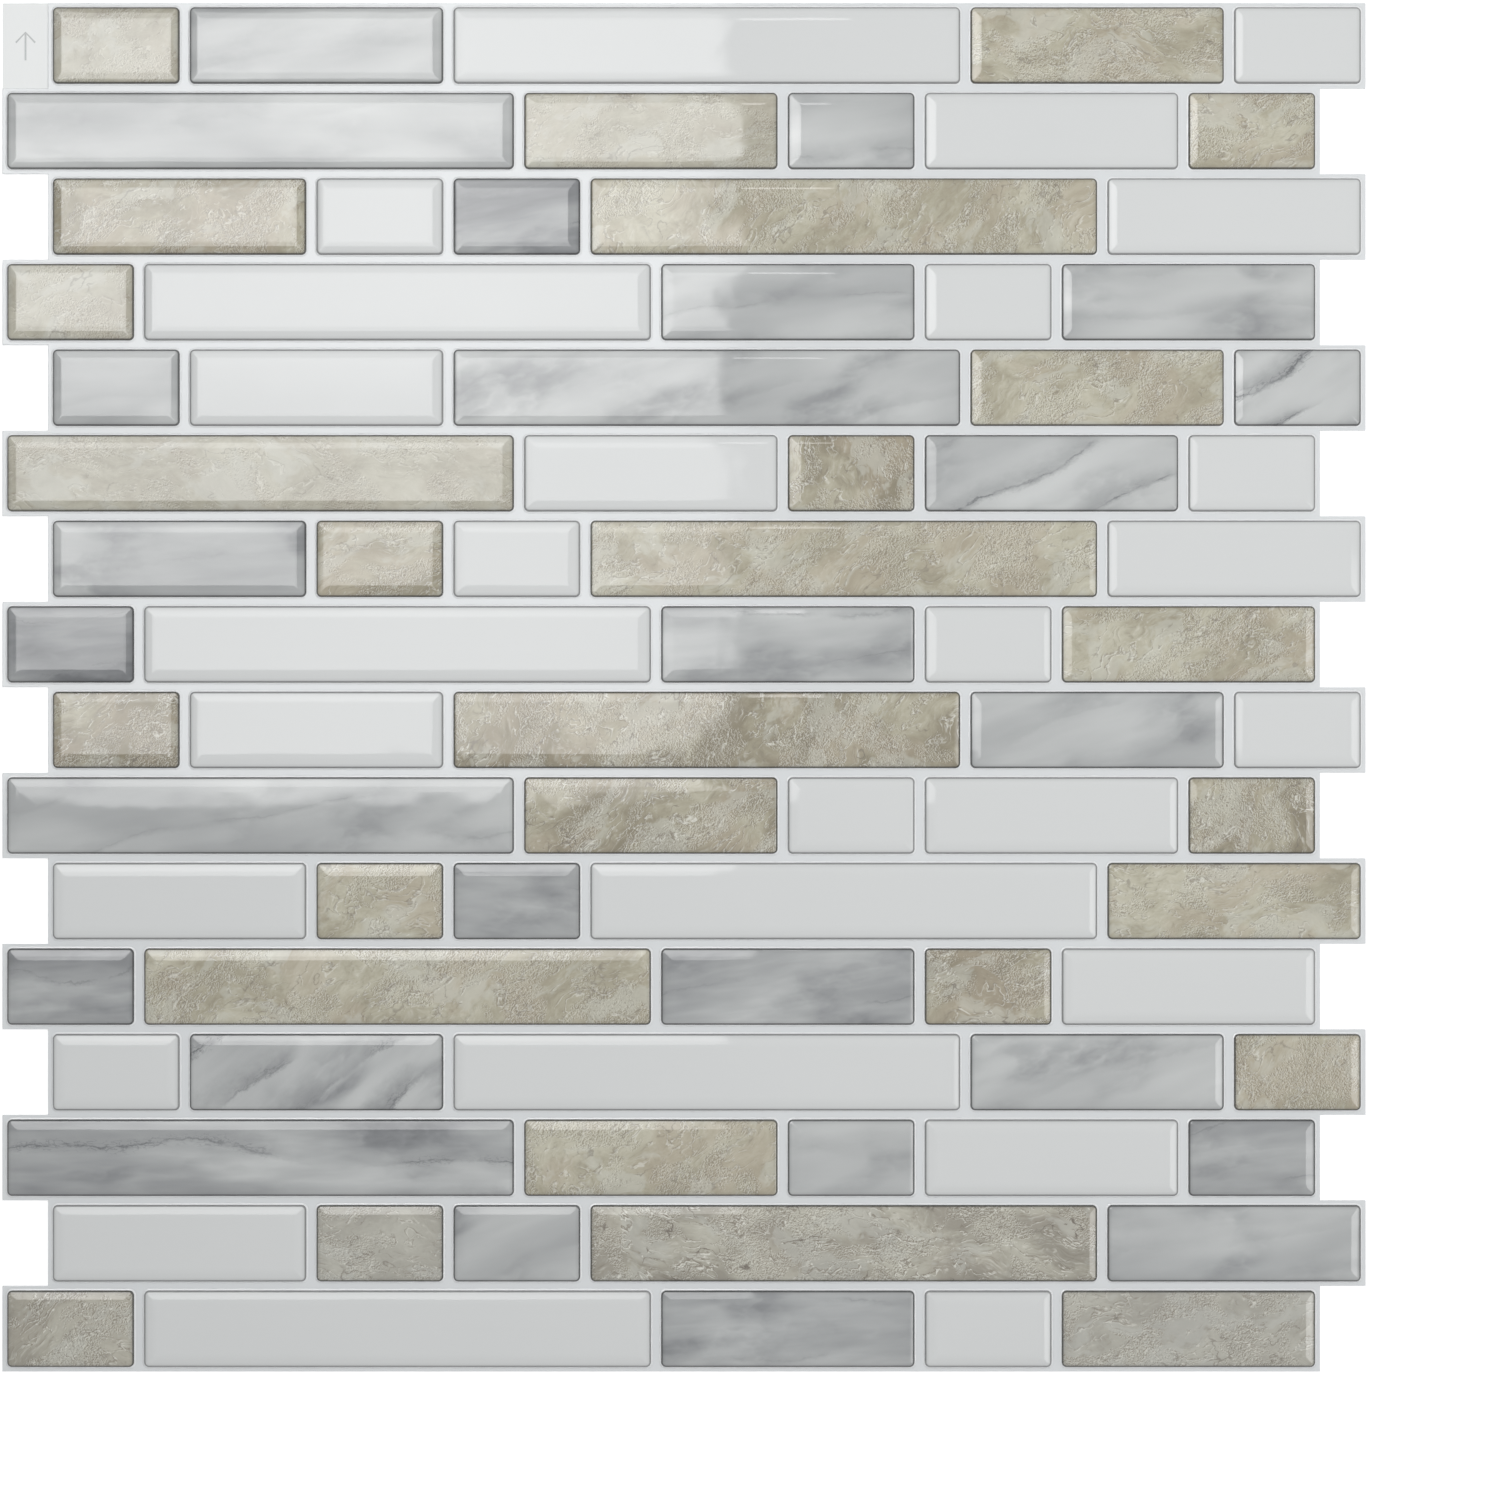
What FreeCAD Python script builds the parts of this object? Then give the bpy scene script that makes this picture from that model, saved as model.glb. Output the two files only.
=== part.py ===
"""Peel-and-stick backsplash sheet, 305 mm square, lying face up.

Eighty cast gel tiles in sixteen staggered rows are cast on one grout-coloured film.
Odd rows stand to the right of even rows, so both side edges are stepped and neighbouring
sheets interlock. A release liner covers the adhesive back, and in the first step on the
left it is left whole as a small tab to peel by.

Millimetres. The origin is at the middle of the sheet on the liner's lower face, +X runs along
the rows, +Y towards the first row and +Z out of the tiled face.
"""

import FreeCAD
import Part

import math
import os

# Tiles, seen from above
SHORT_TILE = 28.2
MEDIUM_TILE = 56.4
LONG_TILE = 112.8
TILE_DEPTH = 17.0
TILE_CORNER = 1.1

# Joints between the tiles, and the stagger of the rows
HEAD_JOINT = 2.3
BED_JOINT = 2.05
ROW_SHIFT = 10.16

# Layers, from the liner up
LINER_THICKNESS = 0.15
FILM_THICKNESS = 0.45
TILE_HEIGHT = 1.4

# A tile's upright rim, its eased edge, and the domed border that levels off to the flat middle
RIM_HEIGHT = 0.5
RIM_EASING = 0.4
BORDER_WIDTH = 3.4

# Chords that turn a border and a round corner, few enough to keep the sheet light
BORDER_STEPS = 4
CORNER_STEPS = 6

# Tile lengths along each row; the courses repeat down the sheet
LENGTHS = {"s": SHORT_TILE, "m": MEDIUM_TILE, "l": LONG_TILE}
COURSES = ("smlms", "lmsms", "msslm", "slmsm")

# Tile finishes along each row, from the first row down
FINISHES = {"w": "white_tiles", "g": "grey_marble_tiles", "b": "beige_stone_tiles"}
ROWS = (
    "bgwbw",
    "gbgwb",
    "bwgbw",
    "bwgwg",
    "gwgbg",
    "bwbgw",
    "gbwbw",
    "gwgwb",
    "bwbgw",
    "gbwwb",
    "wbgwb",
    "gbgbw",
    "wgwgb",
    "gbgwg",
    "wbgbg",
    "bwgwb",
)

# Places that follow from the sizes above
FILM_Z = LINER_THICKNESS
TILE_Z = FILM_Z + FILM_THICKNESS
ROW_PITCH = TILE_DEPTH + BED_JOINT
SHEET_DEPTH = ROW_PITCH * len(ROWS)
ROW_LENGTH = sum(LENGTHS[size] + HEAD_JOINT for size in COURSES[0])
SHEET_LENGTH = ROW_LENGTH + ROW_SHIFT


def row_left(row):
    """X of a row's left cut edge: rows 0, 2, 4 and so on stand to the right."""
    return -SHEET_LENGTH / 2 + (ROW_SHIFT if row % 2 == 0 else 0)


def row_top(row):
    """Y of a row's upper boundary, half a joint above its tiles."""
    return SHEET_DEPTH / 2 - row * ROW_PITCH


def prism(points, direction):
    """Solid from a closed polygon pushed along a direction."""
    return Part.Face(Part.makePolygon(points + points[:1])).extrude(direction)


def rounded_outline(left, low, length):
    """Points round a tile's foot, anticlockwise, each corner turned in CORNER_STEPS chords."""
    near = (left + TILE_CORNER, low + TILE_CORNER)
    far = (left + length - TILE_CORNER, low + TILE_DEPTH - TILE_CORNER)
    centres = (far, (near[0], far[1]), near, (far[0], near[1]))
    points = []
    for quarter, (x, y) in enumerate(centres):
        for step in range(CORNER_STEPS + 1):
            angle = math.pi / 2 * (quarter + step / CORNER_STEPS)
            reach = FreeCAD.Vector(math.cos(angle), math.sin(angle), 0) * TILE_CORNER
            points.append(FreeCAD.Vector(x, y, TILE_Z) + reach)
    return points


def domed_section(start, span):
    """Section across a tile, as (place, height): eased rims, the domed borders and the flat."""
    foot = TILE_Z
    eased = TILE_Z + RIM_HEIGHT + RIM_EASING
    top = TILE_Z + TILE_HEIGHT
    border = [(0, foot), (0, foot + RIM_HEIGHT)]
    for step in range(BORDER_STEPS + 1):
        inward = step / BORDER_STEPS
        inset = RIM_EASING + (BORDER_WIDTH - RIM_EASING) * inward
        border.append((inset, eased + (top - eased) * (1 - (1 - inward) ** 2)))
    near_side = [(start + inset, z) for inset, z in border]
    far_side = [(start + span - inset, z) for inset, z in reversed(border)]
    return near_side + far_side


def gel_tile(left, low, length):
    """One cast tile: what a round-cornered block shares with the domed section run both ways."""
    block = prism(rounded_outline(left, low, length), FreeCAD.Vector(0, 0, TILE_HEIGHT))
    across = [FreeCAD.Vector(left, y, z) for y, z in domed_section(low, TILE_DEPTH)]
    along = [FreeCAD.Vector(x, low, z) for x, z in domed_section(left, length)]
    block = block.common(prism(across, FreeCAD.Vector(length, 0, 0)))
    return block.common(prism(along, FreeCAD.Vector(0, TILE_DEPTH, 0)))


def row_tiles(row):
    """The tiles of a row, gathered by finish."""
    tiles = {}
    left = row_left(row) + HEAD_JOINT / 2
    low = row_top(row) - BED_JOINT / 2 - TILE_DEPTH
    for size, finish in zip(COURSES[row % len(COURSES)], ROWS[row]):
        tiles.setdefault(FINISHES[finish], []).append(gel_tile(left, low, LENGTHS[size]))
        left += LENGTHS[size] + HEAD_JOINT
    return tiles


def stepped_outline(lefts):
    """Corners round the sheet for the given left edge of each row, anticlockwise."""
    rows = range(len(ROWS))
    left_side = []
    right_side = []
    for row in rows:
        for y in (row_top(row), row_top(row + 1)):
            left_side.append((lefts[row], y))
            right_side.append((row_left(row) + ROW_LENGTH, y))
    outline = left_side + right_side[::-1]
    corners = []
    for before, point, after in zip(outline[-1:] + outline[:-1], outline, outline[1:] + outline[:1]):
        straight_on = before[0] == point[0] == after[0]
        if not straight_on:
            corners.append(point)
    return corners


def cut_layer(lefts, z, thickness):
    """A die-cut layer of the sheet with the stepped outline."""
    corners = [FreeCAD.Vector(x, y, z) for x, y in stepped_outline(lefts)]
    return prism(corners, FreeCAD.Vector(0, 0, thickness))


def base_film():
    """The grout-coloured film that carries every tile, with the adhesive coated on its back."""
    lefts = [row_left(row) for row in range(len(ROWS))]
    return cut_layer(lefts, FILM_Z, FILM_THICKNESS)


def release_liner():
    """The liner: the film's outline, with the first step on the left kept as the peel tab."""
    lefts = [row_left(row) for row in range(len(ROWS))]
    lefts[0] = lefts[1]
    return cut_layer(lefts, 0, LINER_THICKNESS)


def save(name, shape):
    """Write one piece, or one group of like pieces, under its name."""
    shape.exportStep(os.path.join("parts", name + ".step"))


os.makedirs("parts", exist_ok=True)
save("release_liner", release_liner())
save("base_film", base_film())
for row_number in range(len(ROWS)):
    for finish_name, solids in sorted(row_tiles(row_number).items()):
        save(f"row_{row_number + 1:02d}_{finish_name}", Part.makeCompound(solids))
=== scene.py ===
"""Dresses the peel-and-stick backsplash sheet: eighty domed gel tiles on a glossy grout-coloured film.

Lengths are in millimetres, as in the part's source, and become metres where a mesh is made.
"""

import collections
import math

import bmesh
import bpy
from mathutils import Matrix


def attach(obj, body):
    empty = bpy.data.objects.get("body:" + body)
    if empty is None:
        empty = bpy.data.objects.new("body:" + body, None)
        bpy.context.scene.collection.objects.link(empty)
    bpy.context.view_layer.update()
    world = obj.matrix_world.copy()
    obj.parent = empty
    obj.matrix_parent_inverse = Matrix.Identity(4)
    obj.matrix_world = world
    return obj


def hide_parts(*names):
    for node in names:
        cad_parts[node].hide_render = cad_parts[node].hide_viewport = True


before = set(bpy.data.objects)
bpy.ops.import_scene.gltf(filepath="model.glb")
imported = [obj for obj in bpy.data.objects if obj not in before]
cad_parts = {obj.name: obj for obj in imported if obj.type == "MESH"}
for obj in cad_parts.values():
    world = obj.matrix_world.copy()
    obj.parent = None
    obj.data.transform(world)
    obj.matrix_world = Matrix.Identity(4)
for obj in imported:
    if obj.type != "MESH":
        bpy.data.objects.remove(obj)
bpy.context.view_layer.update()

MM = 0.001

# Tiles, seen from above
SHORT_TILE = 28.2
MEDIUM_TILE = 56.4
LONG_TILE = 112.8
TILE_DEPTH = 17.0
TILE_CORNER = 1.1

# Joints and the stagger of the rows
HEAD_JOINT = 2.3
BED_JOINT = 2.05
ROW_SHIFT = 10.16

# Layers, from the liner up
LINER_THICKNESS = 0.15
FILM_THICKNESS = 0.45
TILE_HEIGHT = 1.4
FILM_TOP = LINER_THICKNESS + FILM_THICKNESS

# How far the cutter rounds off the upper edges of the liner and the film
LINER_SOFTENING = 0.04
FILM_SOFTENING = 0.1

# A tile's section: its foot, its wall, the round of the rim, the bevel and the nearly flat middle
FOOT_WIDTH = 0.42
FOOT_HEIGHT = 0.1
FOOT_SINK = 0.05
WALL_HEIGHT = 0.345
RIM_ROUND = 0.585
RIM_TURN = math.radians(71.6)
BEVEL_WIDTH = 3.35
CROWN = 0.035

# The bevel climbs a little steeper at the rim, then evenly, and levels off over its inner part
STEEP_PART = 0.4
EVEN_PART = 0.4
EXTRA_STEEPNESS = 0.1
LEVELLING = 1.5

# Seen from above, the corners tighten up the rim to this radius and open again up the bevel
LEAST_CORNER = 0.2
CORNER_OPENING = 0.5

LENGTHS = {"s": SHORT_TILE, "m": MEDIUM_TILE, "l": LONG_TILE}
COURSES = ("smlms", "lmsms", "msslm", "slmsm")

WHITE, MARBLE, STONE = "white_tiles", "grey_marble_tiles", "beige_stone_tiles"

# Cuts of the printed slabs: how dark the print is, how strongly veined or patched, how smoky or rough,
# the lie of its grain in degrees, and how warm its colour is
Cut = collections.namedtuple("Cut", "finish shade veins blots grain warmth")
CUTS = {
    "w": Cut(WHITE, 0.0, 0.0, 0.0, 0, 0.0),
    "p": Cut(MARBLE, 0.38, 0.1, 0.15, 4, 0.0),
    "g": Cut(MARBLE, 0.37, 0.35, 0.5, 6, 0.0),
    "s": Cut(MARBLE, 0.38, 0.15, 0.9, 10, 0.0),
    "m": Cut(MARBLE, 0.48, 0.4, 0.8, 8, 0.0),
    "d": Cut(MARBLE, 0.58, 0.45, 0.7, 3, 0.0),
    "k": Cut(MARBLE, 0.68, 0.5, 0.9, 6, 0.0),
    "v": Cut(MARBLE, 0.36, 1.0, 0.8, 38, 0.0),
    "x": Cut(MARBLE, 0.42, 1.3, 1.5, 38, 0.0),
    "n": Cut(MARBLE, 0.34, 0.75, 0.6, 14, 0.0),
    "c": Cut(MARBLE, 0.6, 0.9, 0.9, -6, 0.0),
    "l": Cut(STONE, 0.46, 0.3, 0.3, 10, 0.65),
    "b": Cut(STONE, 0.5, 0.5, 0.7, 25, 1.0),
    "f": Cut(STONE, 0.7, 0.5, 0.7, 25, 1.0),
    "e": Cut(STONE, 0.8, 0.9, 1.0, 50, 1.0),
    "h": Cut(STONE, 0.7, 0.8, 1.0, 15, 0.5),
    "z": Cut(STONE, 0.72, 1.6, 1.2, 15, 0.5),
    "a": Cut(STONE, 0.62, 0.7, 0.7, 15, 0.25),
}

# One letter a tile, from the first row down
ROWS = (
    "lpwbw",
    "plgwb",
    "fwkbw",
    "lwgws",
    "pwsbv",
    "lwenw",
    "mfwbw",
    "kwmwb",
    "ewesw",
    "gewwe",
    "wbdwb",
    "kbdew",
    "wxwsb",
    "cbgwd",
    "waszs",
    "hwdwa",
)

ROW_PITCH = TILE_DEPTH + BED_JOINT
SHEET_DEPTH = ROW_PITCH * len(ROWS)
ROW_LENGTH = sum(LENGTHS[size] + HEAD_JOINT for size in COURSES[0])
SHEET_LENGTH = ROW_LENGTH + ROW_SHIFT


# Nodes


class Value:
    """What a socket gives. Sums and products of values add their own Math nodes."""

    def __init__(self, nodes, socket):
        self.nodes = nodes
        self.socket = socket

    def __add__(self, other):
        return self.nodes.maths("ADD", self, other)

    def __sub__(self, other):
        return self.nodes.maths("SUBTRACT", self, other)

    def __rsub__(self, other):
        return self.nodes.maths("SUBTRACT", other, self)

    def __mul__(self, other):
        return self.nodes.maths("MULTIPLY", self, other)

    def __truediv__(self, other):
        return self.nodes.maths("DIVIDE", self, other)

    def __pow__(self, other):
        return self.nodes.maths("POWER", self, other)

    def __lt__(self, other):
        return self.nodes.maths("LESS_THAN", self, other)

    def __gt__(self, other):
        return self.nodes.maths("GREATER_THAN", self, other)

    def __abs__(self):
        return self.nodes.maths("ABSOLUTE", self)

    __radd__ = __add__
    __rmul__ = __mul__


class Nodes:
    """Adds nodes to a shader or a geometry tree."""

    def __init__(self, tree):
        self.tree = tree

    def add(self, kind, settings=None, inputs=None):
        """A node of this type: its settings come first, then its sockets' values and links."""
        node = self.tree.nodes.new(kind)
        for name, value in (settings or {}).items():
            if name == "stops":
                ramp = node.color_ramp.elements
                while len(ramp) < len(value):
                    ramp.new(1)
                for stop, (place, colour) in zip(ramp, value):
                    stop.position = place
                    stop.color = (*colour, 1)
            else:
                setattr(node, name, value)
        for name, value in (inputs or {}).items():
            if isinstance(value, Value):
                self.link(value, node.inputs[name])
            else:
                node.inputs[name].default_value = value
        return node

    def link(self, value, socket):
        self.tree.links.new(value.socket, socket)

    def result(self, kind, settings=None, inputs=None, output=0):
        """What a new node gives."""
        return Value(self, self.add(kind, settings, inputs).outputs[output])

    def maths(self, operation, *operands):
        return self.result("ShaderNodeMath", {"operation": operation}, dict(enumerate(operands)))

    def vector(self, operation, *operands):
        return self.result("ShaderNodeVectorMath", {"operation": operation}, dict(enumerate(operands)))

    def scaled(self, vector, factor):
        return self.result("ShaderNodeVectorMath", {"operation": "SCALE"}, {0: vector, "Scale": factor})

    def joined(self, x=0.0, y=0.0, z=0.0):
        return self.result("ShaderNodeCombineXYZ", inputs={0: x, 1: y, 2: z})

    def split(self, vector):
        node = self.add("ShaderNodeSeparateXYZ", inputs={0: vector})
        return [Value(self, socket) for socket in node.outputs]

    def ease(self, value, start, end, low=0.0, high=1.0):
        """Rises smoothly from low to high as value goes from start to end."""
        places = {"Value": value, "From Min": start, "From Max": end, "To Min": low, "To Max": high}
        return self.result("ShaderNodeMapRange", {"interpolation_type": "SMOOTHSTEP"}, places)

    def clamp(self, value, low=0.0, high=1.0):
        return self.result("ShaderNodeClamp", inputs={"Value": value, "Min": low, "Max": high})

    def blend(self, share, first, second):
        """Mixes two colours: share is how much of the second shows."""
        first, second = [(*side, 1) if isinstance(side, tuple) else side for side in (first, second)]
        return self.result("ShaderNodeMix", {"data_type": "RGBA"}, {0: share, 6: first, 7: second}, 2)

    def ramp(self, stops, value):
        """A colour between stops, for a value of 0 to 1."""
        return self.result("ShaderNodeValToRGB", {"stops": stops}, {0: self.clamp(value)})

    def noise(self, place, scale=1.0, detail=3.0, roughness=0.5, output=0):
        """Noise of about 0 to 1, or with output 1 a noise vector."""
        sockets = {"Vector": place, "Scale": scale, "Detail": detail, "Roughness": roughness}
        return self.result("ShaderNodeTexNoise", inputs=sockets, output=output)

    def ridges(self, place, detail):
        """Noise with sharp crests."""
        sockets = {"Vector": place, "Scale": 1.0, "Detail": detail}
        sockets.update({"Roughness": 0.55, "Offset": 1.0, "Gain": 1.6})
        return self.result("ShaderNodeTexNoise", {"noise_type": "RIDGED_MULTIFRACTAL"}, sockets)

    def relief(self, place, step, detail=3.0):
        """How much higher the ridges stand here than a step further, as if lit from one side."""
        return self.ridges(place, detail) - self.ridges(self.vector("ADD", place, step), detail)

    def bump(self, strength, depth, height):
        """Normals of a relief of this depth, where height is 0 to 1."""
        sockets = {"Strength": strength, "Distance": depth * MM, "Height": height}
        return self.result("ShaderNodeBump", inputs=sockets)

    def stretched(self, place, across, along):
        """A place scaled for features of about this size, across and along the grain."""
        return self.vector("MULTIPLY", place, (1 / along, 1 / across, 1 / across))

    def warped(self, place, scale, reach, detail=2.0):
        """A place pushed about by noise, up to half of reach each way."""
        push = self.vector("SUBTRACT", self.noise(place, scale, detail, output=1), (0.5, 0.5, 0.5))
        return self.vector("ADD", place, self.scaled(push, reach))

    def grained(self, place, across, along, detail, roughness=0.5, warp=None):
        """Noise stretched along the grain. A warp is the scale and reach of what pushes it about."""
        place = self.stretched(place, across, along)
        if warp:
            place = self.warped(place, *warp)
        return self.noise(place, 1.0, detail, roughness)

    def thin_lines(self, place, width, detail=3.0):
        """Lines where a noise field crosses its middle: 1 on the line, 0 a width away."""
        return self.ease(abs(self.noise(place, 1.0, detail) - 0.5), width, 0.0)

    def attribute(self, name):
        """A number stored on the mesh, for a shader."""
        return self.result("ShaderNodeAttribute", {"attribute_name": name}, output="Fac")

    def stored(self, geometry, name, value, kind="FLOAT", domain="POINT"):
        """Geometry with a value stored on it."""
        sockets = {"Geometry": geometry, "Name": name, "Value": value}
        return self.result("GeometryNodeStoreNamedAttribute", {"data_type": kind, "domain": domain}, sockets)

    def recalled(self, name, kind="FLOAT"):
        """A number stored on the geometry."""
        return self.result("GeometryNodeInputNamedAttribute", {"data_type": kind}, {"Name": name})


def material(name):
    """A new material, the nodes that will feed its surface shader, and that shader."""
    made = bpy.data.materials.new(name)
    made.use_nodes = True
    return made, Nodes(made.node_tree), made.node_tree.nodes["Principled BSDF"]


def feed(nodes, shader, **sources):
    for name, source in sources.items():
        nodes.link(source, shader.inputs[name.replace("_", " ")])


def millimetres(nodes):
    """Place on the sheet in millimetres."""
    return nodes.scaled(nodes.result("ShaderNodeTexCoord", output="Object"), 1 / MM)


# Finishes

# The clear gel, and the gel over marble and stone, which shines more
GEL_INDEX = 1.5
PRINTED_GEL_INDEX = 1.65

# The insets over which the rim's painted dark shade line and the softer painted shade inside it grow to full
# strength
RIM_SHADE_LINE = (0.5, 0.22)
RIM_SHADE = (1.2, 0.3)

# Painted highlight: the gel's foot is coloured paler than the film, for the bright fringe round each tile
FOOT_HIGHLIGHT = (0.87, 0.88, 0.89)


def gel_finish(nodes, shader, place, print_colour, rim, index):
    """Clear gel over a print: a painted shade line round the rim with softer painted shade inside it, both as
    strong as rim, a pale foot painted as a highlight, and a slightly wavy gloss.
    """
    inset = nodes.attribute("inset")
    # Painted shade: the print is darkened in a thin line at the rim and more softly further in, for the
    # shadowed steep wall
    painted_rim_shade_factor = (1 - nodes.ease(inset, *RIM_SHADE_LINE) * rim) * (1 - nodes.ease(inset, *RIM_SHADE) * rim * 0.2)
    # Where the foot's painted highlight lies
    on_foot = inset < -0.02
    sweep = nodes.noise(place, 0.045, 1.0)
    ripple = nodes.noise(place, 0.16, 1.0)
    feed(
        nodes, shader,
        Base_Color=nodes.blend(on_foot, nodes.scaled(print_colour, painted_rim_shade_factor), FOOT_HIGHLIGHT),
        Normal=nodes.bump(strength=0.4, depth=0.5, height=sweep + ripple * 0.1),
        Roughness=0.02 + nodes.noise(place, 0.12) * 0.02,
    )
    shader.inputs["IOR"].default_value = index


def white_gel():
    made, nodes, shader = material("white_gel")
    place = millimetres(nodes)
    milky = nodes.noise(place, 0.03)
    speck = nodes.noise(place, 2.2, 2.0)
    white = nodes.blend(milky * 0.7 + speck * 0.3, (0.677, 0.69, 0.689), (0.703, 0.712, 0.709))
    gel_finish(nodes, shader, place, white, rim=0.52, index=GEL_INDEX)
    return made


# How far apart tiles of one slab may be cut
SLAB_REACH = 900.0


def tile_frame(nodes, sway):
    """Place on the sheet, and place on the slab: each tile is cut elsewhere, and its grain turned."""
    cut = nodes.result("ShaderNodeAttribute", {"attribute_name": "cut"}, output="Vector")
    angle = (nodes.split(cut)[2] - 0.5) * sway - nodes.attribute("grain") * math.radians(1)
    place = millimetres(nodes)
    shifted = nodes.vector("ADD", place, nodes.scaled(cut, SLAB_REACH))
    turned = {"Vector": shifted, "Angle": angle}
    return place, nodes.result("ShaderNodeVectorRotate", {"rotation_type": "Z_AXIS"}, turned)


# Marble greys by depth of tone
DEEPEST_TONE = 1.4
MARBLE_GREYS = [
    (0.0 / DEEPEST_TONE, (0.64, 0.652, 0.645)),
    (0.3 / DEEPEST_TONE, (0.52, 0.532, 0.528)),
    (0.6 / DEEPEST_TONE, (0.39, 0.4, 0.402)),
    (1.0 / DEEPEST_TONE, (0.235, 0.243, 0.252)),
    (1.0, (0.135, 0.141, 0.15)),
]
HALO_GREY = (0.3, 0.308, 0.312)
VEIN_GREY = (0.13, 0.137, 0.145)
VEIN_SPACING = 12.0


def marble_gel():
    made, nodes, shader = material("grey_marble_gel")
    depth, veins, blots = (nodes.attribute(name) for name in ("shade", "veins", "blots"))
    place, slab = tile_frame(nodes, sway=0.3)

    # Broad soft bands
    cloud = nodes.grained(slab, across=15, along=45, detail=2.0, roughness=0.4, warp=(0.8, 0.8))
    streaks = nodes.grained(slab, across=3.2, along=16, detail=2.0, warp=(0.8, 0.7))
    tone = depth + (cloud - 0.5) * (0.35 + depth * 2.0)
    tone = tone + (streaks - 0.5) * nodes.ease(depth, 0.3, 0.8, 0.1, 0.85)

    # Smoke in soft patches, faintly mottled inside
    region = nodes.grained(slab, across=11, along=23, detail=1.0, warp=(1.0, 0.8))
    mottle = nodes.grained(slab, across=3.4, along=6.5, detail=2.5, warp=(1.0, 0.9))
    smoke = nodes.ease(region, 0.46, 0.74) * nodes.ease(mottle, 0.12, 0.75)
    tone = tone + smoke * (0.1 + blots * 0.42)
    grey = nodes.ramp(MARBLE_GREYS, tone / DEEPEST_TONE)

    # Veins follow the grain. Each has a halo, longer on one side, and in it a thin broken line,
    # at times crackled.
    sway = nodes.grained(slab, across=30, along=45, detail=1.0)
    fray = nodes.grained(slab, across=2.2, along=3.0, detail=4.0, roughness=0.65)
    course = nodes.split(slab)[1] / VEIN_SPACING + (sway - 0.5) * 1.6 + (fray - 0.5) * (0.06 + blots * 0.2)
    course = nodes.maths("FRACT", course)
    off = abs(course - 0.5)
    visible = nodes.grained(slab, across=12, along=24, detail=1.0)
    fading = nodes.ease(visible, 0.42, 0.6)
    gaps = nodes.ease(nodes.grained(slab, across=2.5, along=5, detail=3.0, roughness=0.6), 0.36, 0.56)
    line = nodes.ease(off, 0.03, 0.0) * fading * gaps
    crackle = nodes.thin_lines(nodes.stretched(slab, across=1.1, along=3.2), 0.035)
    crackle = crackle * nodes.ease(off, 0.17, 0.04) * fading * nodes.ease(veins, 0.6, 1.0) * 0.7
    line = nodes.maths("MAXIMUM", line, crackle)
    halo = nodes.ease(course, 0.4, 0.49) * nodes.ease(course, 0.75 + veins * 0.24, 0.5)
    halo = halo * nodes.ease(visible, 0.36, 0.54) * nodes.ease(mottle, 0.0, 0.6) * (0.1 + veins * 0.75)
    dimmed = nodes.blend(halo, grey, HALO_GREY)
    veined = nodes.blend(line * nodes.ease(veins, 0.1, 1.0) * 0.9, dimmed, VEIN_GREY)
    gel_finish(nodes, shader, place, veined, rim=0.74, index=PRINTED_GEL_INDEX)
    return made


STONE_BEIGES = [
    (0.0, (0.63, 0.612, 0.512)),
    (0.35, (0.515, 0.49, 0.382)),
    (0.65, (0.385, 0.354, 0.26)),
    (1.0, (0.255, 0.223, 0.152)),
]
TAN = (0.45, 0.383, 0.29)
CHALK = (0.6, 0.605, 0.54)
COOL_STONE = (0.43, 0.435, 0.43)
LIT_RIDGE = (0.72, 0.705, 0.63)
SHADED_RIDGE = (0.2, 0.172, 0.13)
PIT = (0.19, 0.162, 0.125)
PALE_CREASE = (0.75, 0.74, 0.67)
DARK_CREASE = (0.22, 0.19, 0.145)
CRACK = (0.17, 0.145, 0.115)


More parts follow.
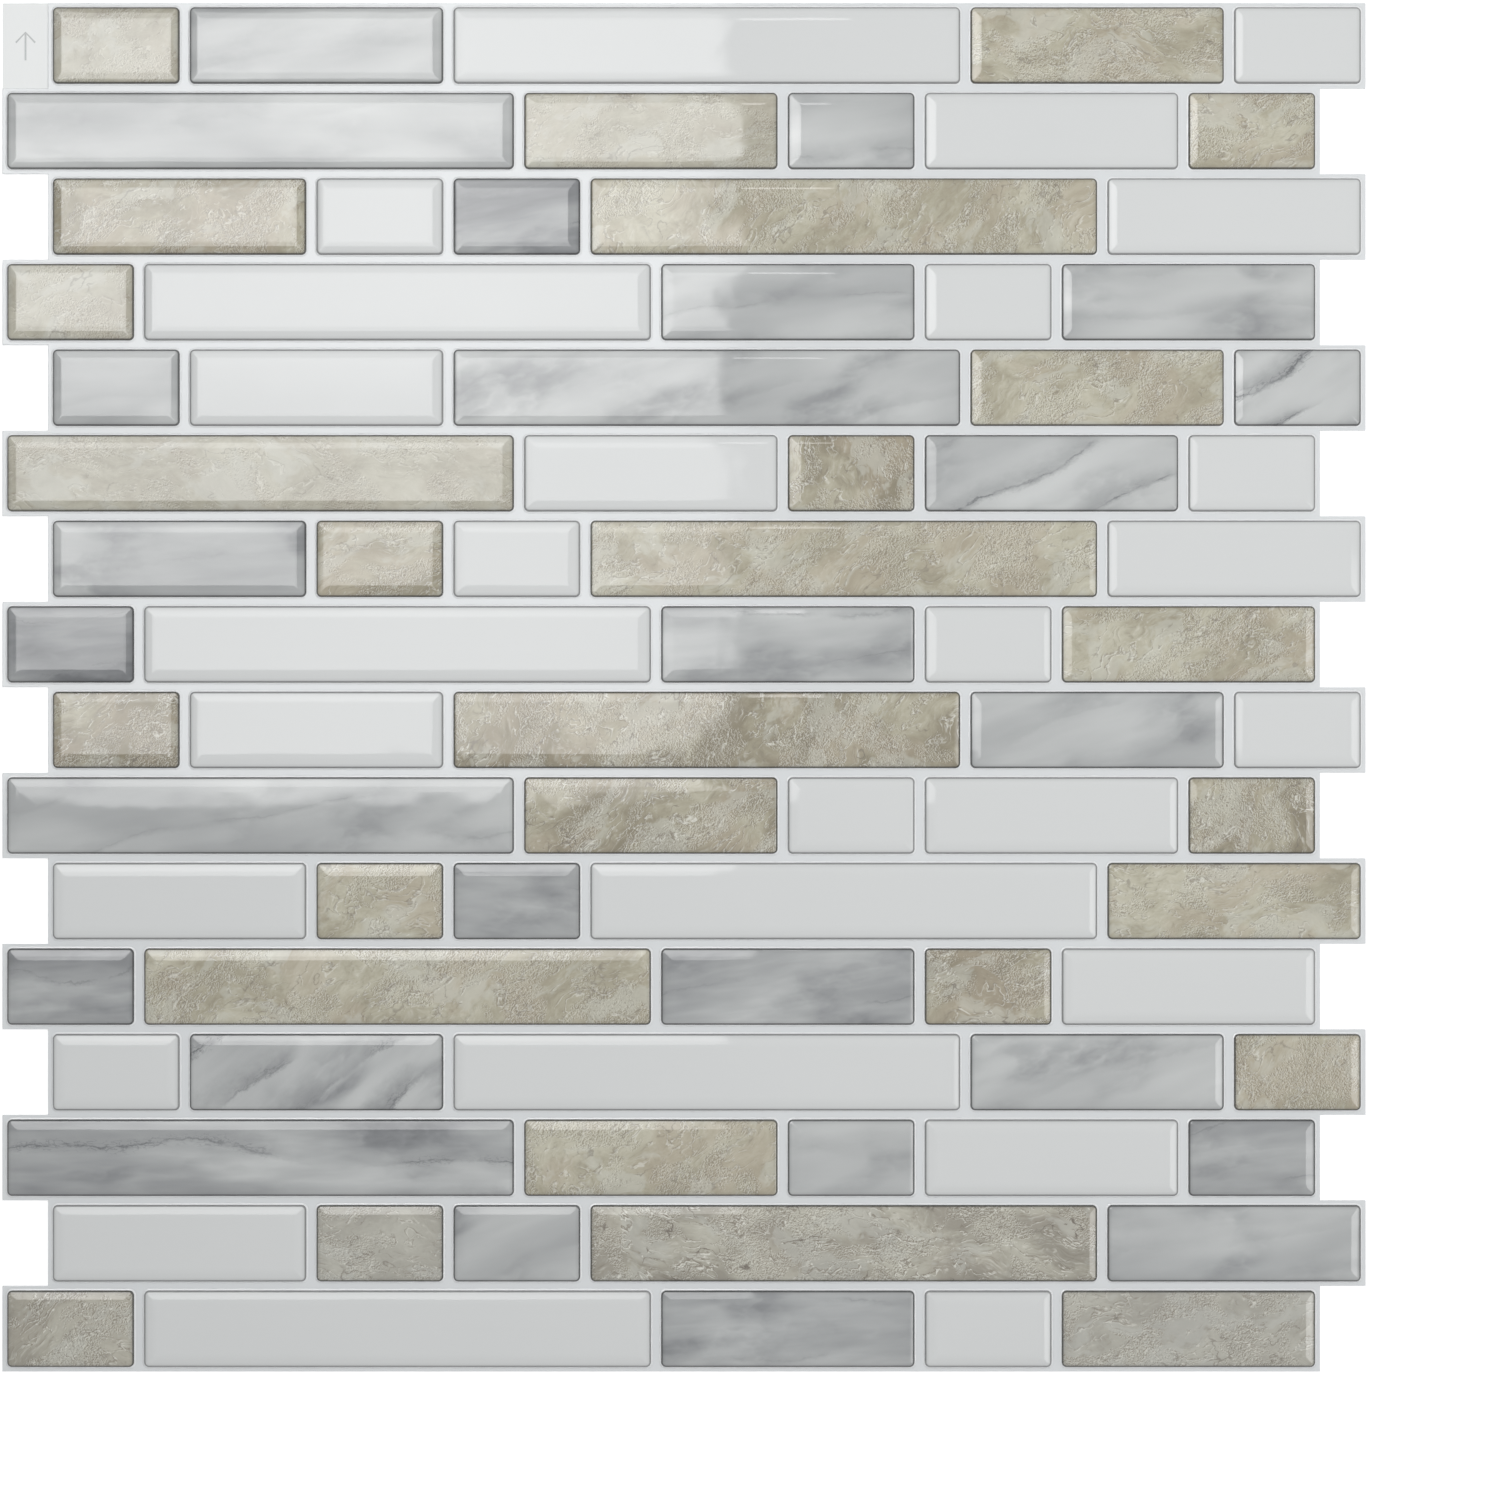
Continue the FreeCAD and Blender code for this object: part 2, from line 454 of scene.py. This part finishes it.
def stone_gel():
    made, nodes, shader = material("beige_stone_gel")
    depth, cracking, blots, warmth = (nodes.attribute(name) for name in ("shade", "veins", "blots", "warmth"))
    place, slab = tile_frame(nodes, sway=1.2)
    folded = nodes.warped(slab, scale=0.05, reach=16.0, detail=3.0)

    # Soft patches of lighter and darker stone, some tan and some chalky
    patch = nodes.grained(folded, across=13, along=20, detail=3.0)
    mottle = nodes.grained(folded, across=3, along=4.5, detail=6.0, roughness=0.7)
    tone = depth + nodes.ease(patch, 0.36, 0.64, -0.5, 0.5) * (0.1 + cracking * 0.44) + (mottle - 0.5)
    ground = nodes.ramp(STONE_BEIGES, tone)
    blush = nodes.ease(nodes.grained(folded, across=12, along=16, detail=2.0), 0.46, 0.6)
    ground = nodes.blend(blush * warmth * 0.4, ground, TAN)
    chalk = nodes.ease(nodes.grained(folded, across=8, along=13, detail=4.0, roughness=0.6), 0.52, 0.6)
    ground = nodes.blend(chalk * 0.4, ground, CHALK)
    ground = nodes.blend((1 - warmth) * 0.6, ground, COOL_STONE)

    # Leathery folds and fine crumbs, each gathered in patches
    creased = nodes.warped(nodes.stretched(folded, across=3.6, along=7.0), scale=0.6, reach=1.2, detail=3.0)
    folds = nodes.relief(creased, (0.04, -0.05, 0.0))
    crumbled = nodes.scaled(nodes.warped(slab, scale=0.5, reach=1.6), 1.9)
    crumbs = nodes.relief(crumbled, (0.19, -0.21, 0.0), detail=2.0)
    gathered = nodes.grained(folded, across=8, along=12, detail=2.0)
    smooth = nodes.ease(gathered, 0.5, 0.4)
    rough = nodes.ease(gathered, 0.46, 0.55)
    slope = (folds * smooth * 0.8 + crumbs * rough * 1.2) * (1 - chalk * 0.5) * (0.2 + blots * 0.8)
    ground = nodes.blend(nodes.ease(slope, 0.0, 0.45) * 0.5, ground, LIT_RIDGE)
    ground = nodes.blend(nodes.ease(slope, 0.0, -0.45) * 0.55, ground, SHADED_RIDGE)

    # Dark pits among the crumbs
    pits = nodes.ease(nodes.noise(slab, scale=1.7, roughness=0.6), 0.42, 0.34) * rough * (0.15 + blots * 0.4)
    ground = nodes.blend(pits, ground, PIT)

    # Thin creases, a dark line beside a pale one
    crease = nodes.warped(nodes.stretched(folded, across=2.6, along=5.0), scale=1.6, reach=0.7, detail=3.0)
    strength = nodes.ease(nodes.grained(folded, across=4, along=7, detail=2.0), 0.44, 0.57)
    strength = strength * (0.2 + blots * 0.55)
    pale = nodes.thin_lines(crease, 0.027)
    dark = nodes.thin_lines(nodes.vector("ADD", crease, (0.05, -0.11, 0.0)), 0.027)
    ground = nodes.blend(pale * strength, ground, PALE_CREASE)
    ground = nodes.blend(dark * strength, ground, DARK_CREASE)

    # Hairline cracks
    broken = nodes.warped(nodes.stretched(slab, across=7, along=11), scale=2.5, reach=0.5, detail=4.0)
    crack = nodes.thin_lines(broken, 0.012, detail=2.0)
    crack = crack * nodes.ease(nodes.grained(slab, across=6, along=9, detail=2.0), 0.5, 0.62)
    ground = nodes.blend(crack * (0.25 + cracking * 0.5), ground, CRACK)
    gel_finish(nodes, shader, place, ground, rim=0.78, index=PRINTED_GEL_INDEX)
    return made


FILM_COLOUR = (0.752, 0.772, 0.784)
FILM_VARIATION = 0.015


def film_finish():
    made, nodes, shader = material("base_film")
    place = millimetres(nodes)
    cast = nodes.noise(place, 0.02)
    speck = nodes.noise(place, 3.0)
    grain = nodes.noise(place, 0.9, 4.0, 0.6)
    dark, light = (
        tuple(channel * share for channel in FILM_COLOUR)
        for share in (1 - FILM_VARIATION, 1 + FILM_VARIATION)
    )
    feed(
        nodes, shader,
        Base_Color=nodes.blend(cast * 0.6 + speck * 0.4, dark, light),
        Normal=nodes.bump(strength=0.25, depth=0.05, height=grain),
        Roughness=0.05 + grain * 0.03,
    )
    return made


def liner_finish():
    made, nodes, shader = material("release_liner")
    place = millimetres(nodes)
    fibre = nodes.noise(nodes.vector("MULTIPLY", place, (1.0, 0.35, 1.0)), 1.6, 5.0, 0.65)
    cloud = nodes.noise(place, 0.08)
    feed(
        nodes, shader,
        Base_Color=nodes.blend(fibre * 0.5 + cloud * 0.5, (0.775, 0.79, 0.785), (0.835, 0.845, 0.84)),
        Normal=nodes.bump(strength=0.3, depth=0.04, height=fibre),
        Roughness=0.34 + fibre * 0.14,
    )
    return made


def ink_finish():
    made, nodes, shader = material("peel_mark_ink")
    worn = nodes.noise(millimetres(nodes), 2.5)
    feed(nodes, shader, Base_Color=nodes.blend(worn, (0.46, 0.475, 0.475), (0.56, 0.57, 0.57)))
    shader.inputs["Roughness"].default_value = 0.5
    return made


# Tiles

# What the tile tree's inputs are set to
TILE_SIZES = {
    "Unit Length": SHORT_TILE,
    "Tile Depth": TILE_DEPTH,
    "Corner Radius": TILE_CORNER,
    "Foot Width": FOOT_WIDTH,
    "Foot Height": FOOT_HEIGHT,
    "Wall Height": WALL_HEIGHT,
    "Rim Round": RIM_ROUND,
    "Bevel Width": BEVEL_WIDTH,
    "Tile Height": TILE_HEIGHT,
    "Crown": CROWN,
}
CUT_SEED = 7

# Rings of points up a tile. Ring 0 closes the underside and ring 1 is the sunk edge of the foot.
CORNER_CHORDS = 8
FOOT_START = 2
FOOT_RINGS = 2
RIM_RINGS = 5
BEVEL_RINGS = 13
CROWN_RINGS = 2
WALL_TOP = FOOT_START + FOOT_RINGS + 1
BEVEL_START = WALL_TOP + RIM_RINGS
CROWN_START = BEVEL_START + BEVEL_RINGS
LAST_RING = CROWN_START + CROWN_RINGS

# Points closer than this are one
WELD = 0.0005


def tile_section(nodes, size, ring):
    """How far in from the tile's outline each ring is, how high, and the radius of its corners."""
    foot = nodes.clamp((ring - FOOT_START) / FOOT_RINGS)
    wall = nodes.clamp(ring - (WALL_TOP - 1))
    turn = nodes.clamp((ring - WALL_TOP) / RIM_RINGS) * RIM_TURN
    bevel = nodes.clamp((ring - BEVEL_START) / BEVEL_RINGS)
    crown = nodes.clamp((ring - CROWN_START) / CROWN_RINGS)

    half_depth = size["Tile Depth"] * 0.5
    rim_width = size["Rim Round"] * (1 - math.cos(RIM_TURN))
    inset = (
        (foot - 1) * size["Foot Width"]
        + size["Rim Round"] * (1 - nodes.maths("COSINE", turn))
        + (size["Bevel Width"] - rim_width) * bevel
        + (half_depth - size["Bevel Width"]) * crown
        + (half_depth + size["Foot Width"]) * (ring < 0.5)
    )

    steep = nodes.maths("MINIMUM", bevel, STEEP_PART)
    even = nodes.maths("MINIMUM", bevel, EVEN_PART)
    left_over = 1 - (bevel - even) / (1 - EVEN_PART)
    levelling = (1 - left_over ** (LEVELLING + 1)) * ((1 - EVEN_PART) / (LEVELLING + 1))
    climb = even + levelling + (steep - steep * steep / (2 * STEEP_PART)) * EXTRA_STEEPNESS
    full_climb = EVEN_PART + (1 - EVEN_PART) / (LEVELLING + 1) + EXTRA_STEEPNESS * STEEP_PART / 2
    shoulder = size["Wall Height"] + size["Rim Round"] * math.sin(RIM_TURN)
    height = (
        size["Foot Height"] * foot * foot
        + (size["Wall Height"] - size["Foot Height"]) * wall
        + size["Rim Round"] * nodes.maths("SINE", turn)
        + (size["Tile Height"] - shoulder) * climb / full_climb
        + size["Crown"] * (1 - (1 - crown) * (1 - crown))
        - (ring < FOOT_START - 0.5) * FOOT_SINK
    )

    radius = nodes.maths("MAXIMUM", size["Corner Radius"] - inset, LEAST_CORNER)
    radius = radius + bevel * bevel * (1 - crown) * CORNER_OPENING
    at_middle = inset > half_depth - 0.01
    return inset, height, radius * (1 - at_middle)


def tile_shell(nodes, size):
    """A closed tile of unit length, which keeps each point's inset and on which side of the middle it is."""
    steps = 4 * (CORNER_CHORDS + 1)
    counts = {"Vertices X": steps + 1, "Vertices Y": LAST_RING + 1}
    spans = {"Size X": float(steps), "Size Y": float(LAST_RING)}
    strip = nodes.result("GeometryNodeMeshGrid", inputs={**counts, **spans})
    step, ring, _ = nodes.split(nodes.result("GeometryNodeInputPosition"))
    step = nodes.maths("ROUND", step + steps / 2)
    ring = nodes.maths("ROUND", ring + LAST_RING / 2)

    # Where each step lies on its corner
    corner = nodes.maths("FLOOR", (step + 0.5) / (CORNER_CHORDS + 1))
    along = (step - corner * (CORNER_CHORDS + 1)) / CORNER_CHORDS
    angle = (corner + along) * (math.pi / 2)
    middle = (corner + 0.5) * (math.pi / 2)
    side_x = nodes.maths("SIGN", nodes.maths("COSINE", middle))
    side_y = nodes.maths("SIGN", nodes.maths("SINE", middle))

    inset, height, radius = tile_section(nodes, size, ring)
    x = side_x * (size["Unit Length"] * 0.5 - inset - radius) + radius * nodes.maths("COSINE", angle)
    y = side_y * (size["Tile Depth"] * 0.5 - inset - radius) + radius * nodes.maths("SINE", angle)
    shell = nodes.stored(nodes.stored(strip, "inset", inset), "side", side_x)
    placed = {"Geometry": shell, "Position": nodes.joined(x, y, height)}
    shell = nodes.result("GeometryNodeSetPosition", inputs=placed)
    shell = nodes.result("GeometryNodeMergeByDistance", inputs={"Geometry": shell, "Distance": WELD})
    return nodes.result("GeometryNodeSetShadeSmooth", inputs={"Geometry": shell, "Shade Smooth": True})


def spread_copies(nodes, size, shell):
    """A copy of the shell at each point, with its own cut of the print and its own length, in metres."""
    planted = {"Points": size["Points"], "Instance": shell}
    copies = nodes.result("GeometryNodeInstanceOnPoints", inputs=planted)
    draw = {"ID": nodes.recalled("number", "INT"), "Seed": size["Seed"]}
    cut = nodes.result("FunctionNodeRandomValue", {"data_type": "FLOAT_VECTOR"}, draw)
    copies = nodes.stored(copies, "cut", cut, "FLOAT_VECTOR", "INSTANCE")
    tiles = nodes.result("GeometryNodeRealizeInstances", inputs={"Geometry": copies})

    # The two ends move apart to the tile's own length
    added = nodes.recalled("length") - size["Unit Length"]
    apart = {"Geometry": tiles, "Offset": nodes.joined(nodes.recalled("side") * added * 0.5)}
    tiles = nodes.result("GeometryNodeSetPosition", inputs=apart)
    return nodes.result("GeometryNodeTransform", inputs={"Geometry": tiles, "Scale": (MM, MM, MM)})


def gel_tile_tree():
    """Geometry tree that casts a tile at each point, and the identifiers of its inputs."""
    tree = bpy.data.node_groups.new("gel_tiles", "GeometryNodeTree")
    kinds = {"Points": "NodeSocketGeometry"}
    kinds.update(dict.fromkeys(TILE_SIZES, "NodeSocketFloat"))
    kinds.update({"Seed": "NodeSocketInt", "Gel": "NodeSocketMaterial"})
    identifiers = {}
    for name, kind in kinds.items():
        identifiers[name] = tree.interface.new_socket(name, in_out="INPUT", socket_type=kind).identifier
    tree.interface.new_socket("Tiles", in_out="OUTPUT", socket_type="NodeSocketGeometry")
    nodes = Nodes(tree)
    given = nodes.add("NodeGroupInput")
    size = {name: Value(nodes, given.outputs[name]) for name in kinds}
    tiles = spread_copies(nodes, size, tile_shell(nodes, size))
    tiles = nodes.result("GeometryNodeSetMaterial", inputs={"Geometry": tiles, "Material": size["Gel"]})
    nodes.add("NodeGroupOutput", inputs={0: tiles})
    return tree, identifiers


def row_left(row):
    """X of a row's left cut edge."""
    return -SHEET_LENGTH / 2 + (ROW_SHIFT if row % 2 == 0 else 0)


def row_top(row):
    """Y of a row's upper boundary, half a joint above its tiles."""
    return SHEET_DEPTH / 2 - row * ROW_PITCH


def tile_points():
    """The tiles of each row and finish, as (centre, length, number, cut)."""
    points = {}
    for row, letters in enumerate(ROWS):
        left = row_left(row) + HEAD_JOINT / 2
        middle = row_top(row) - ROW_PITCH / 2
        for place, (size, letter) in enumerate(zip(COURSES[row % len(COURSES)], letters)):
            length = LENGTHS[size]
            tile = ((left + length / 2, middle, FILM_TOP), length, len(letters) * row + place, CUTS[letter])
            points.setdefault((row, CUTS[letter].finish), []).append(tile)
            left += length + HEAD_JOINT
    return points


def mesh_object(name, mesh):
    made = bpy.data.objects.new(name, mesh)
    bpy.context.scene.collection.objects.link(made)
    return made


def cast_tiles(node, tiles, tree, identifiers, gel):
    """The tiles of one row and finish, as one plain mesh."""
    points = bpy.data.meshes.new(node + "_points")
    centres, lengths, numbers, cuts = zip(*tiles)
    points.from_pydata(centres, [], [])
    facts = {"length": lengths, "number": numbers}
    for name in ("shade", "veins", "blots", "grain", "warmth"):
        facts[name] = [float(getattr(cut, name)) for cut in cuts]
    for name, values in facts.items():
        kind = "INT" if name == "number" else "FLOAT"
        points.attributes.new(name, kind, "POINT").data.foreach_set("value", values)
    carrier = mesh_object(node + "_carrier", points)
    caster = carrier.modifiers.new("gel_tiles", "NODES")
    caster.node_group = tree
    for name, value in {**TILE_SIZES, "Seed": CUT_SEED, "Gel": gel}.items():
        caster[identifiers[name]] = value
    depsgraph = bpy.context.evaluated_depsgraph_get()
    mesh = bpy.data.meshes.new_from_object(carrier.evaluated_get(depsgraph))
    mesh.name = node + "_gel"
    carrier.modifiers.remove(caster)
    bpy.data.objects.remove(carrier)
    piece = mesh_object(node + "_gel", mesh)
    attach(piece, "root")
    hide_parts(node)


# Film, liner and tab


def stepped_outline(lefts):
    """Corners round the sheet for the given left edge of each row, anticlockwise."""
    left_side = []
    right_side = []
    for row in range(len(ROWS)):
        for y in (row_top(row), row_top(row + 1)):
            left_side.append((lefts[row], y))
            right_side.append((row_left(row) + ROW_LENGTH, y))
    outline = left_side + right_side[::-1]
    corners = []
    for before, point, after in zip(outline[-1:] + outline[:-1], outline, outline[1:] + outline[:1]):
        straight_on = before[0] == point[0] == after[0]
        if not straight_on:
            corners.append(point)
    return corners


def plate(name, outline, low, high, finish, soften=0.0):
    """A flat piece of even thickness, whose upper edge may be softened."""
    shape = bmesh.new()
    under, upper = [[shape.verts.new((x * MM, y * MM, z * MM)) for x, y in outline] for z in (low, high)]
    shape.faces.new(under[::-1])
    shape.faces.new(upper)
    for place in range(len(outline)):
        shape.faces.new((under[place - 1], under[place], upper[place], upper[place - 1]))
    if soften:
        shape.normal_update()
        rim = [edge for edge in shape.edges if all(vert in upper for vert in edge.verts)]
        bmesh.ops.bevel(shape, geom=rim, offset=soften * MM, segments=2, profile=0.5, affect="EDGES")
    mesh = bpy.data.meshes.new(name)
    shape.to_mesh(mesh)
    shape.free()
    mesh.materials.append(finish)
    return mesh_object(name, mesh)


def grout_film():
    """The grout-coloured film that carries the tiles."""
    lefts = [row_left(row) for row in range(len(ROWS))]
    outline = stepped_outline(lefts)
    piece = plate("grout_film", outline, LINER_THICKNESS, FILM_TOP, film_finish(), FILM_SOFTENING)
    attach(piece, "root")
    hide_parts("base_film")


def liner_sheet():
    """The liner, which also fills the first step on the left, as the peel tab."""
    lefts = [row_left(row) for row in range(len(ROWS))]
    lefts[0] = lefts[1]
    outline = stepped_outline(lefts)
    piece = plate("liner_sheet", outline, 0, LINER_THICKNESS, liner_finish(), LINER_SOFTENING)
    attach(piece, "root")
    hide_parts("release_liner")


# The arrow printed on the tab: the width of its lines, its length, the reach of its head to each side,
# and how deep it lies in the paper and stands out of it
ARROW_STROKE = 0.42
ARROW_SHAFT = 6.4
ARROW_HEAD = 2.3
INK_SINK = 0.01
INK_RISE = 0.015


def peel_arrow():
    """A plain arrow printed on the tab, pointing to the corner where the liner is lifted."""
    middle_x = row_left(1) + ROW_SHIFT / 2
    middle_y = row_top(0) - ROW_PITCH / 2
    half = ARROW_STROKE / 2
    lean = ARROW_STROKE * math.sqrt(0.5)
    tip = ARROW_SHAFT / 2
    right = [
        (half, -tip),
        (half, tip - 2 * lean),
        (ARROW_HEAD - lean, tip - ARROW_HEAD - lean),
        (ARROW_HEAD, tip - ARROW_HEAD),
    ]
    left = [(-x, y) for x, y in reversed(right)]
    outline = [(middle_x + x, middle_y + y) for x, y in right + [(0, tip)] + left]
    piece = plate("peel_arrow", outline, LINER_THICKNESS - INK_SINK, LINER_THICKNESS + INK_RISE, ink_finish())
    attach(piece, "root")


# Stage

# The camera: the place on the sheet in the middle of the picture, its height over the table,
# and the depth of film that fills the picture
VIEW_CENTRE = (13.8, -14.0)
VIEW_HEIGHT = 1000.0
VIEW_DEPTH = 334.1
SENSOR = 36

# The table: how far it reaches each way, how far it lies under the sheet, and its lift to plain white
TABLE_REACH = 3000.0
TABLE_GAP = 0.02
TABLE_LIFT = 0.42

# The lights, and how high the panels hang
ROOM_LIGHT = 0.46
PANEL_GLOW = 4.0
STRIP_GLOW = 2.6
KEY_WATTS = 2.39
PANEL_LEVEL = 420.0


def camera():
    """Looks straight down. The picture's height spans VIEW_DEPTH on the film."""
    lens = bpy.data.cameras.new("overhead")
    lens.sensor_fit = "VERTICAL"
    lens.sensor_height = lens.sensor_width = SENSOR
    lens.lens = SENSOR * (VIEW_HEIGHT - FILM_TOP) / VIEW_DEPTH
    seen_from = bpy.data.objects.new("overhead", lens)
    bpy.context.scene.collection.objects.link(seen_from)
    seen_from.location = [axis * MM for axis in (*VIEW_CENTRE, VIEW_HEIGHT)]
    bpy.context.scene.camera = seen_from


def floor():
    """A white table, lifted to plain white for the camera where nothing shades it."""
    made, nodes, shader = material("white_table")
    grain = nodes.noise(millimetres(nodes), 0.4)
    feed(nodes, shader, Base_Color=nodes.blend(grain, (0.93, 0.93, 0.93), (0.95, 0.95, 0.95)))
    shader.inputs["Roughness"].default_value = 0.9
    shader.inputs["Specular IOR Level"].default_value = 0.0
    seen = nodes.result("ShaderNodeLightPath", output="Is Camera Ray")
    glow = nodes.result("ShaderNodeEmission", inputs={"Strength": seen * TABLE_LIFT})
    surface = Value(nodes, shader.outputs[0])
    both = nodes.result("ShaderNodeAddShader", inputs={0: surface, 1: glow})
    nodes.link(both, made.node_tree.nodes["Material Output"].inputs["Surface"])
    half = TABLE_REACH * MM
    mesh = bpy.data.meshes.new("table")
    corners = [(-half, -half, 0), (half, -half, 0), (half, half, 0), (-half, half, 0)]
    mesh.from_pydata(corners, [], [(0, 1, 2, 3)])
    mesh.materials.append(made)
    table = mesh_object("table", mesh)
    table.location.z = -TABLE_GAP * MM


def soft_room():
    """Even light all round, seen as white by the camera and by gloss."""
    world = bpy.data.worlds.new("soft_room")
    world.use_nodes = True
    bpy.context.scene.world = world
    nodes = Nodes(world.node_tree)
    path = nodes.add("ShaderNodeLightPath")
    white = Value(nodes, path.outputs["Is Camera Ray"])
    for ray in ("Is Glossy Ray", "Is Transmission Ray"):
        white = nodes.maths("MAXIMUM", white, Value(nodes, path.outputs[ray]))
    background = world.node_tree.nodes["Background"]
    background.inputs["Color"].default_value = (0.985, 0.995, 1.0, 1)
    nodes.link(ROOM_LIGHT + white * (1 - ROOM_LIGHT), background.inputs["Strength"])


def lamp(name, place, size, watts, gloss):
    """A rectangular soft light that faces down, and shows either in gloss alone or in matt shading alone."""
    light = bpy.data.lights.new(name, "AREA")
    light.shape = "RECTANGLE"
    light.size, light.size_y = size[0] * MM, size[1] * MM
    light.energy = watts
    made = bpy.data.objects.new(name, light)
    bpy.context.scene.collection.objects.link(made)
    made.location = [axis * MM for axis in place]
    made.visible_glossy = gloss
    made.visible_diffuse = not gloss
    made.visible_camera = False
    return made


def gloss_panel(name, x_range, y_range, radius, soft, glow, fading=None):
    """A panel that only gloss shows: a rounded rectangle with a soft edge, dimmed by a function of place."""
    (left, right), (low, high) = x_range, y_range
    width, height = right - left, high - low
    middle = (left + width / 2, low + height / 2, PANEL_LEVEL)
    watts = glow * math.pi * width * MM * height * MM
    panel = lamp(name, middle, (width, height), watts, gloss=True)
    panel.data.use_nodes = True
    nodes = Nodes(panel.data.node_tree)
    u, v, _ = nodes.split(nodes.result("ShaderNodeNewGeometry", output="Parametric"))
    x = nodes.maths("MAXIMUM", abs(u - 0.5) * width - (width / 2 - soft / 2 - radius), 0.0)
    y = nodes.maths("MAXIMUM", abs(v - 0.5) * height - (height / 2 - soft / 2 - radius), 0.0)
    edge = nodes.maths("SQRT", x * x + y * y) - radius
    strength = nodes.ease(edge, soft / 2, -soft / 2)
    if fading:
        strength = strength * fading(nodes, u * width + left, v * height + low)
    nodes.link(strength, panel.data.node_tree.nodes["Emission"].inputs["Strength"])


def soft_panel_fading(nodes, x, y):
    """Dimmer to the right, in the lower part and past the sheet's top, and fading out to the left."""
    sideways = nodes.ease(x, -112, 13, 1.0, 0.74) * nodes.ease(x, -392, -315)
    return sideways * nodes.ease(y, 78, 125, 0.66, 1.0) * nodes.ease(y, 240, 310, 1.0, 0.55)


def panel_end_fading(nodes, x, y):
    """Fading out past the sheet's top."""
    return nodes.ease(y, 304, 254)


def lights():
    # The panel above the left of the sheet, whose reflection lies over the upper left tiles
    gloss_panel(
        "soft_panel", x_range=(-392, 13), y_range=(-29, 480), radius=34, soft=8,
        glow=PANEL_GLOW, fading=soft_panel_fading)
    # Its far end reaches a little further right
    gloss_panel(
        "soft_panel_end", x_range=(8, 44), y_range=(229, 304), radius=4, soft=4,
        glow=PANEL_GLOW * 0.8, fading=panel_end_fading)
    # A strip at the right, caught by the right-hand bevels
    gloss_panel("edge_strip", x_range=(295, 500), y_range=(-303, 67), radius=20, soft=40, glow=STRIP_GLOW)
    # The main light, above the upper right
    lamp("main_light", place=(120, 130, 650), size=(400, 400), watts=KEY_WATTS, gloss=False)


# The sheet

bpy.context.scene.view_settings.view_transform = "Standard"
camera()
floor()
soft_room()
lights()

gels = {WHITE: white_gel(), MARBLE: marble_gel(), STONE: stone_gel()}
tile_tree, tile_inputs = gel_tile_tree()
for (row_number, finish_name), row_tiles in sorted(tile_points().items()):
    node_name = f"row_{row_number + 1:02d}_{finish_name}"
    cast_tiles(node_name, row_tiles, tile_tree, tile_inputs, gels[finish_name])

grout_film()
liner_sheet()
peel_arrow()
